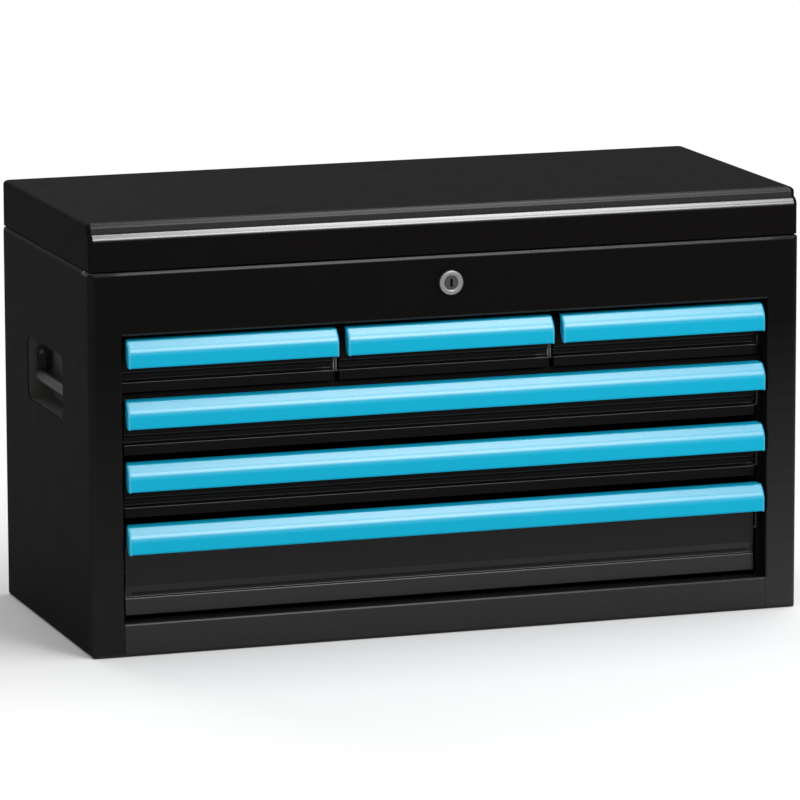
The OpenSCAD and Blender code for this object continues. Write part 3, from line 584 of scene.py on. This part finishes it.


# %% [markdown]
# ## The blue pulls
#
# Each drawer has a full-width pull: a flat top fixed to the drawer, a slanted and rounded brow, an
# upright face and a small lip that the fingers hook under. Light falls down the brow and leaves the
# face deeper in colour, so the bend between them matters most. The shell is one swept section. Its
# ends are closed by plates whose outer edges are bevelled, which gives them a soft light rim. A sweep
# with plain caps would leave that rim hard. The plates also get extra coat, which brightens the rim
# further: a painted highlight. The outer sizes are read from the CAD part.

# %% Pull sizes
pull_wall = 2.2 * MM
brow_back, brow_down = 7 * MM, 8 * MM
brow_top_bend, brow_foot_bend = 3.5 * MM, 13 * MM
pull_lip = 2.5 * MM
pull_lip_wall = 1.7 * MM
pull_end_wall = 1.8 * MM
pull_end_bevel = 1.7 * MM
end_depth, end_low = 10 * MM, 13.5 * MM
crease, lip_bend = 0.3 * MM, 0.5 * MM
pull_steps = 12
same_plane = math.radians(0.5)
drawers = ("left", "centre", "right", "upper", "middle", "deep")
print("pulls for", len(drawers), "drawers")


# %% The section of a pull
def pull_section(low, high):
    """Corners of a pull's section, each with its bend, from the CAD part's box."""
    face, top, foot, back = low.y, high.z, low.z, high.y
    lip, inner = face + pull_wall + pull_lip, face + pull_wall
    slant = math.atan2(brow_back, brow_down)
    under_foot = pull_wall * math.tan(slant / 2)
    under_top = pull_wall * math.tan((math.pi / 2 - slant) / 2)
    return [
        (back, top, crease), (face + brow_back, top, brow_top_bend),
        (face, top - brow_down, brow_foot_bend), (face, foot, pull_wall), (lip, foot, lip_bend),
        (lip, foot + pull_lip_wall, lip_bend), (inner, foot + pull_lip_wall, crease),
        (inner, top - brow_down - under_foot, brow_foot_bend - pull_wall),
        (face + brow_back + under_top, top - pull_wall, brow_top_bend - pull_wall),
        (back, top - pull_wall, crease),
    ]


# %% The end of a pull
def pull_end(low, high, side):
    """The plate that closes one end of a pull, with its outer edges bevelled."""
    face, top, foot = low.y, high.z, low.z
    back, outer = face + end_depth, high.x if side > 0 else low.x
    plate = swept(
        [
            (back, top, 0), (face + brow_back, top, brow_top_bend),
            (face, top - brow_down, brow_foot_bend), (face, foot, 0),
            (face + pull_wall + pull_lip, foot, 0), (back, top - end_low, 0),
        ],
        pull_end_wall, finishes["blue_pull"], outer - side * pull_end_wall / 2, pull_steps,
    )
    solid = bmesh.new()
    solid.from_mesh(plate)
    bmesh.ops.dissolve_limit(
        solid, angle_limit=same_plane, verts=solid.verts, edges=solid.edges
    )
    rim = [
        edge for edge in solid.edges
        if all(abs(corner.co.x - outer) < weld_within for corner in edge.verts)
    ]
    bmesh.ops.bevel(
        solid, geom=rim, offset=pull_end_bevel, segments=3, profile=0.5, affect="EDGES",
        clamp_overlap=True,
    )
    solid.to_mesh(plate)
    solid.free()
    return plate


# %% Make the pulls
brow_gloss_down = brow_down + 6 * MM
# Extra coat on the faces near each pull's ends, which brightens their rim: a painted highlight.
pull_end_gloss = 0.6
blue = finishes["blue_pull"]
for drawer in drawers:
    node = f"{drawer}_drawer_pull"
    low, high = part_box(node)
    middle, width = (low.x + high.x) / 2, high.x - low.x
    shell = swept(pull_section(low, high), width - 2 * pull_end_wall, blue, middle, pull_steps)
    ends = [pull_end(low, high, side) for side in (-1, 1)]
    made = piece(
        f"{drawer}_pull", [shell, *ends], blue, f"{drawer}_drawer", [node],
        lambda spot: (
            1.0 if spot.z > high.z - brow_gloss_down else 0.0,
            pull_end_gloss if min(spot.x - low.x, high.x - spot.x) < pull_end_bevel else 0.0,
        ),
    )
    print(made.name, "width", round(width / MM, 1), "mm,", len(made.data.polygons), "faces")

# %% [markdown]
# ## The drawer fronts
#
# A front is one pressed sheet. Near its foot a groove is pressed in to stiffen it, and its top is
# folded forward to carry the pull. The groove shows as a soft light line where its lower side comes
# forward again, which only appears when its bends are rounded. A bump in the paint could draw that
# line, but it would vanish from the side. The deep front's groove sits higher and slopes in gently
# from above, so its line has no dark one over it.

# %% Sizes of a front
sheet = 1 * MM
press_deep = 2.5 * MM
shallow_groove = {
    "foot": 8 * MM, "tall": 8 * MM, "depth": press_deep, "over": 2.25 * MM, "under": 2.25 * MM,
}
deep_groove = {
    "foot": 13.5 * MM, "tall": 10 * MM, "depth": 1.5 * MM, "over": 7.5 * MM, "under": 1.3 * MM,
}
groove_bend = 0.4 * MM
flange_leg = 7 * MM
front_outer = 1.6 * MM
front_inner = 0.8 * MM
cut_edge = 0.2 * MM
# Coat on the fronts' flats, and more on the deep front's strip under its groove: painted reflection of
# the floor.
deep_bend_gloss, deep_lip_gloss, deep_flat_gloss = 0.6, 0.45, 0.22
bend_gloss, flat_gloss = 0.42, 0.05
print("the fronts' grooves are", round(press_deep / MM, 1), "mm deep, the deep front's is", end=" ")
print(round(deep_groove["depth"] / MM, 1), "mm")


# %% The section of a front
def front_section(low, high, leg, groove):
    """Corners of a front's section; leg is the y of the turned-down leg's rear face."""
    face, foot, top = high.y - sheet - press_deep, low.z, high.z
    groove_low = foot + groove["foot"]
    groove_high, bed = groove_low + groove["tall"], face + groove["depth"]
    bed_low, bed_high = groove_low + groove["under"], groove_high - groove["over"]
    leg_foot = top - flange_leg
    return [
        (face, foot, cut_edge), (face, groove_low, front_outer),
        (bed, bed_low, front_inner), (bed, bed_high, front_inner),
        (face, groove_high, front_outer), (face, top - sheet, front_inner),
        (leg, top - sheet, crease), (leg, leg_foot, cut_edge), (leg - sheet, leg_foot, cut_edge),
        (leg - sheet, top - sheet, crease), (leg, top, front_inner),
        (face + sheet, top, front_outer), (face + sheet, groove_high + groove_bend, front_inner),
        (bed + sheet, bed_high + groove_bend, front_outer),
        (bed + sheet, bed_low - groove_bend, front_outer),
        (face + sheet, groove_low - groove_bend, front_inner), (face + sheet, foot, cut_edge),
    ]


# %% Make the drawer fronts
def deep_shine(spot):
    """The strip under the deep front's groove gets more coat than the flat above it: painted
    reflection.
    """
    return deep_bend_gloss, deep_lip_gloss if spot.z < deep_lip_top else deep_flat_gloss


deep_lip_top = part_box("deep_drawer_front")[0].z + deep_groove["foot"]
black = finishes["black_paint"]
for drawer in drawers:
    node = f"{drawer}_drawer_front"
    low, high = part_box(node)
    groove = deep_groove if drawer == "deep" else shallow_groove
    plate = swept(
        front_section(low, high, low.y + sheet, groove), high.x - low.x, black,
        (low.x + high.x) / 2,
    )
    made = piece(
        f"{drawer}_front", [plate], black, f"{drawer}_drawer", [node],
        deep_shine if drawer == "deep" else shine(bend_gloss, flat_gloss),
    )
    height = round((high.z - low.z) / MM, 1)
    print(made.name, "height", height, "mm,", len(made.data.polygons), "faces")

# %% [markdown]
# ## Rows of rivets and weld marks
#
# The hinge is riveted at an even pitch and the back sheet is spot-welded to the sides. Each row is
# one small head repeated along a line, which is what instancing is for: the node tree places points
# at a pitch and puts the head on each. The head has few faces because it is seen from far off.

# %% The node tree for a row
def even_row():
    tree = bpy.data.node_groups.new("even_row", "GeometryNodeTree")
    sockets = {}
    for label, kind in (
        ("Head", "Geometry"), ("Count", "Int"), ("First", "Vector"), ("Step", "Vector"),
        ("Finish", "Material"),
    ):
        sockets[label] = tree.interface.new_socket(
            label, in_out="INPUT", socket_type=f"NodeSocket{kind}"
        ).identifier
    tree.interface.new_socket("Row", in_out="OUTPUT", socket_type="NodeSocketGeometry")

    add, link = tree.nodes.new, tree.links.new
    given, made = add("NodeGroupInput"), add("NodeGroupOutput")
    points = add("GeometryNodeMeshLine")
    points.mode = "OFFSET"
    copies = add("GeometryNodeInstanceOnPoints")
    real = add("GeometryNodeRealizeInstances")
    coat = add("GeometryNodeSetMaterial")
    link(given.outputs["Count"], points.inputs["Count"])
    link(given.outputs["First"], points.inputs["Start Location"])
    link(given.outputs["Step"], points.inputs["Offset"])
    link(points.outputs["Mesh"], copies.inputs["Points"])
    link(given.outputs["Head"], copies.inputs["Instance"])
    link(copies.outputs["Instances"], real.inputs["Geometry"])
    link(real.outputs["Geometry"], coat.inputs["Geometry"])
    link(given.outputs["Finish"], coat.inputs["Material"])
    link(coat.outputs["Geometry"], made.inputs["Row"])
    return tree, sockets


row_tree, row_sockets = even_row()
print("even_row takes", ", ".join(row_sockets))


# %% A turned shape about the Y axis
def turned(profile, sides):
    """A closed solid of revolution about Y from (radius, y) points; the axis ends are closed."""
    solid = bmesh.new()
    rings = []
    for radius, y in profile:
        if radius == 0:
            rings.append([solid.verts.new((0, y, 0))] * sides)
        else:
            angles = [2 * math.pi * i / sides for i in range(sides)]
            rings.append([
                solid.verts.new((radius * math.cos(a), y, radius * math.sin(a))) for a in angles
            ])
    for near, far in zip(rings, rings[1:]):
        for i in range(sides):
            corners = [near[i], near[(i + 1) % sides], far[(i + 1) % sides], far[i]]
            solid.faces.new(list(dict.fromkeys(corners)))
    bmesh.ops.recalc_face_normals(solid, faces=solid.faces)
    mesh = bpy.data.meshes.new("turned")
    solid.to_mesh(mesh)
    solid.free()
    return mesh


def row(head, count, first, step, finish):
    """A row of heads, the first at a place and each next one a step further."""
    return plain_mesh(head, row_tree, {
        row_sockets["Count"]: count,
        row_sockets["First"]: first,
        row_sockets["Step"]: step,
        row_sockets["Finish"]: finish,
    })


# %% Rivets in the hinge
rivet_r, rivet_high = 2.4 * MM, 0.9 * MM
rivets, rivet_span = 8, 520 * MM
rivet_rim = 0.2 * MM
head_sunk, head_sides = 0.1 * MM, 16
rivet_head = [
    (0, -head_sunk), (rivet_r, -head_sunk), (rivet_r, rivet_rim),
    (0.7 * rivet_r, 0.8 * rivet_high), (0, rivet_high),
]
rivet_from_axis = 11.5 * MM
pin_low, pin_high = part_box("hinge_pin")
axis_z = (pin_low.z + pin_high.z) / 2
leaf_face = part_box("back_panel")[1].y + sheet
pitch = rivet_span / (rivets - 1)
for body, side in (("lid", 1), ("cabinet", -1)):
    z = axis_z + side * rivet_from_axis
    heads = row(
        turned(rivet_head, head_sides), rivets, (-rivet_span / 2, leaf_face, z), (pitch, 0, 0),
        finishes["bright_steel"],
    )
    made = piece(f"{body}_hinge_rivets", [heads], finishes["bright_steel"], body)
    print(made.name, rivets, "heads at a pitch of", round(pitch / MM, 1), "mm")

# %% Weld marks in the back
weld_r, weld_high = 2.6 * MM, 0.15 * MM
welds, weld_from_side, lowest_weld, weld_pitch = 8, 15 * MM, 28 * MM, 35 * MM
weld_head = [
    (0, -head_sunk), (weld_r, -head_sunk), (0.8 * weld_r, weld_high), (0, 0.3 * weld_high),
]
back_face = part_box("back_panel")[1].y
side_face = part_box("side_panel_right")[1].x
weld_rows = [
    row(
        turned(weld_head, head_sides), welds,
        (side * (side_face - weld_from_side), back_face, lowest_weld), (0, 0, weld_pitch), black,
    )
    for side in (-1, 1)
]
made = piece("back_weld_marks", weld_rows, black, "cabinet")
print(made.name, len(made.data.polygons), "faces")

# %% [markdown]
# ## The cam lock's face
#
# A cam lock shows a turned bezel with a bevelled edge round a plug that carries the keyway. The
# bezel is a mid-grey satin ring, and its bevels keep that ring from looking like a flat disc, so the
# housing is turned again here with them. The plug and its keyway are already right in CAD, and only
# get a darker steel.

# %% Turn the lock's housing
low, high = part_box("lock_housing")
bezel_r = (high.x - low.x) / 2
bore_r = 5.56 * MM
thread_r = 8 * MM
thread_chamfer, bore_bevel = 0.4 * MM, 0.4 * MM
bezel_back, bezel_edge, bore_edge = low.y + 3 * MM, low.y + 1.3 * MM, low.y + 1 * MM
bevel_step, outer_bevel, inner_bevel = 0.5 * MM, 1.6 * MM, 1.4 * MM
bezel_sides = 64
lock_middle = Vector((0, 0, (low.z + high.z) / 2))
bezel = [
    (bore_r, high.y), (thread_r - thread_chamfer, high.y), (thread_r, high.y - thread_chamfer),
    (thread_r, bezel_back), (bezel_r, bezel_back), (bezel_r, bezel_edge),
    (bezel_r - bevel_step, low.y + bevel_step), (bezel_r - outer_bevel, low.y),
    (bore_r + inner_bevel, low.y), (bore_r + bore_bevel, low.y + bevel_step),
    (bore_r, bore_edge), (bore_r, high.y),
]
housing = turned(bezel, bezel_sides)
housing.transform(Matrix.Translation(lock_middle))
made = piece("lock_face", [housing], finishes["chrome"], "cabinet", ["lock_housing"])
print(made.name, "across", round(2 * bezel_r / MM, 1), "mm")

# %% [markdown]
# ## Floor, backdrop and light
#
# The box stands on a plain pale floor. Large soft lamps keep highlights broad, because a small lamp
# would put a hard spot on every bend. The white background is a colour that the camera and
# mirror-like reflections see, while the light on the object comes from the lamps and a dimmer sky.
# The floor holds the shadow near the box and turns into that white further out.

# %% Which rays see the white
def seen_directly(nodes, links):
    """1 for a ray from the camera, a glossy bounce or a transmitted one, and 0 for other light."""
    path = nodes.new("ShaderNodeLightPath")
    total = path.outputs["Is Camera Ray"]
    for label in ("Is Glossy Ray", "Is Transmission Ray"):
        either = nodes.new("ShaderNodeMath")
        either.operation = "MAXIMUM"
        links.new(total, either.inputs[0])
        links.new(path.outputs[label], either.inputs[1])
        total = either.outputs["Value"]
    return total


# %% Floor
floor_reach, floor_z = 14, -0.2 * MM
floor_mesh = bpy.data.meshes.new("floor")
corners = ((-1, -1), (1, -1), (1, 1), (-1, 1))
floor_mesh.from_pydata(
    [(floor_reach * x, floor_reach * y, floor_z) for x, y in corners], [], [(0, 1, 2, 3)]
)
floor = bpy.data.objects.new("floor", floor_mesh)
bpy.context.scene.collection.objects.link(floor)
print("the floor reaches", floor_reach, "m each way")

# %% The floor's finish
fade_from, fade_full = 0.36, 0.8
floor_shade, floor_rough = 0.88, 0.9
pale = bpy.data.materials.new("pale_floor")
pale.use_nodes = True
nodes, links = pale.node_tree.nodes, pale.node_tree.links
shader = nodes["Principled BSDF"]
shader.inputs["Base Color"].default_value = (floor_shade, floor_shade, floor_shade, 1)
shader.inputs["Roughness"].default_value = floor_rough
shader.inputs["Specular IOR Level"].default_value = 0.0
place = nodes.new("ShaderNodeTexCoord")
distance = nodes.new("ShaderNodeVectorMath")
distance.operation = "LENGTH"
links.new(place.outputs["Object"], distance.inputs[0])
fade = nodes.new("ShaderNodeMapRange")
fade.interpolation_type = "SMOOTHSTEP"
fade.inputs["From Min"].default_value = fade_from
fade.inputs["From Max"].default_value = fade_full
links.new(distance.outputs["Value"], fade.inputs["Value"])
amount = nodes.new("ShaderNodeMath")
amount.operation = "MULTIPLY"
links.new(fade.outputs["Result"], amount.inputs[0])
links.new(seen_directly(nodes, links), amount.inputs[1])
backdrop = nodes.new("ShaderNodeEmission")
choose = nodes.new("ShaderNodeMixShader")
links.new(amount.outputs["Value"], choose.inputs["Fac"])
links.new(shader.outputs["BSDF"], choose.inputs[1])
links.new(backdrop.outputs["Emission"], choose.inputs[2])
links.new(choose.outputs["Shader"], nodes["Material Output"].inputs["Surface"])
floor_mesh.materials.append(pale)
print("the floor turns white between", fade_from, "and", fade_full, "m from the middle")

# %% World
ambient_strength = 0.45
world = bpy.data.worlds.new("studio")
bpy.context.scene.world = world
world.use_nodes = True
nodes, links = world.node_tree.nodes, world.node_tree.links
ambient = nodes["Background"]
ambient.inputs["Color"].default_value = (1, 1, 1, 1)
ambient.inputs["Strength"].default_value = ambient_strength
white = nodes.new("ShaderNodeBackground")
white.inputs["Color"].default_value = (1, 1, 1, 1)
white.inputs["Strength"].default_value = 1.0
choose = nodes.new("ShaderNodeMixShader")
links.new(seen_directly(nodes, links), choose.inputs["Fac"])
links.new(ambient.outputs["Background"], choose.inputs[1])
links.new(white.outputs["Background"], choose.inputs[2])
links.new(choose.outputs["Shader"], nodes["World Output"].inputs["Surface"])
print("the sky lights the box at", ambient_strength)


# %% Lamps
def soft_lamp(name, place, lean, swing, size, watts):
    """An area lamp; lean tips it up from facing straight down, swing then turns it about Z."""
    lamp = bpy.data.objects.new(name, bpy.data.lights.new(name, "AREA"))
    bpy.context.scene.collection.objects.link(lamp)
    lamp.data.shape = "RECTANGLE"
    lamp.data.size, lamp.data.size_y = size
    lamp.data.energy = watts
    lamp.location = place
    lamp.rotation_euler = (math.radians(lean), 0, math.radians(swing))
    return lamp


soft_lamp("key_lamp", (0.84, -0.3, 2.7), lean=8, swing=0, size=(0.75, 3.0), watts=48)
soft_lamp("front_lamp", (0.95, -2.6, 2.0), lean=55, swing=0, size=(1.0, 1.2), watts=34)
soft_lamp("left_lamp", (-2.6, -1.2, 1.0), lean=74, swing=-65, size=(1.2, 1.4), watts=11)
soft_lamp("rear_lamp", (-0.7, 2.9, 2.0), lean=58, swing=180, size=(1.8, 1.2), watts=30)

# %% [markdown]
# ## The view transform
#
# The paint and the new pieces must not make the box larger than its CAD solids, or it would no longer
# fit where the solids fit. The render uses Blender's Standard view transform.

# %% Finish
bpy.context.scene.view_settings.view_transform = "Standard"
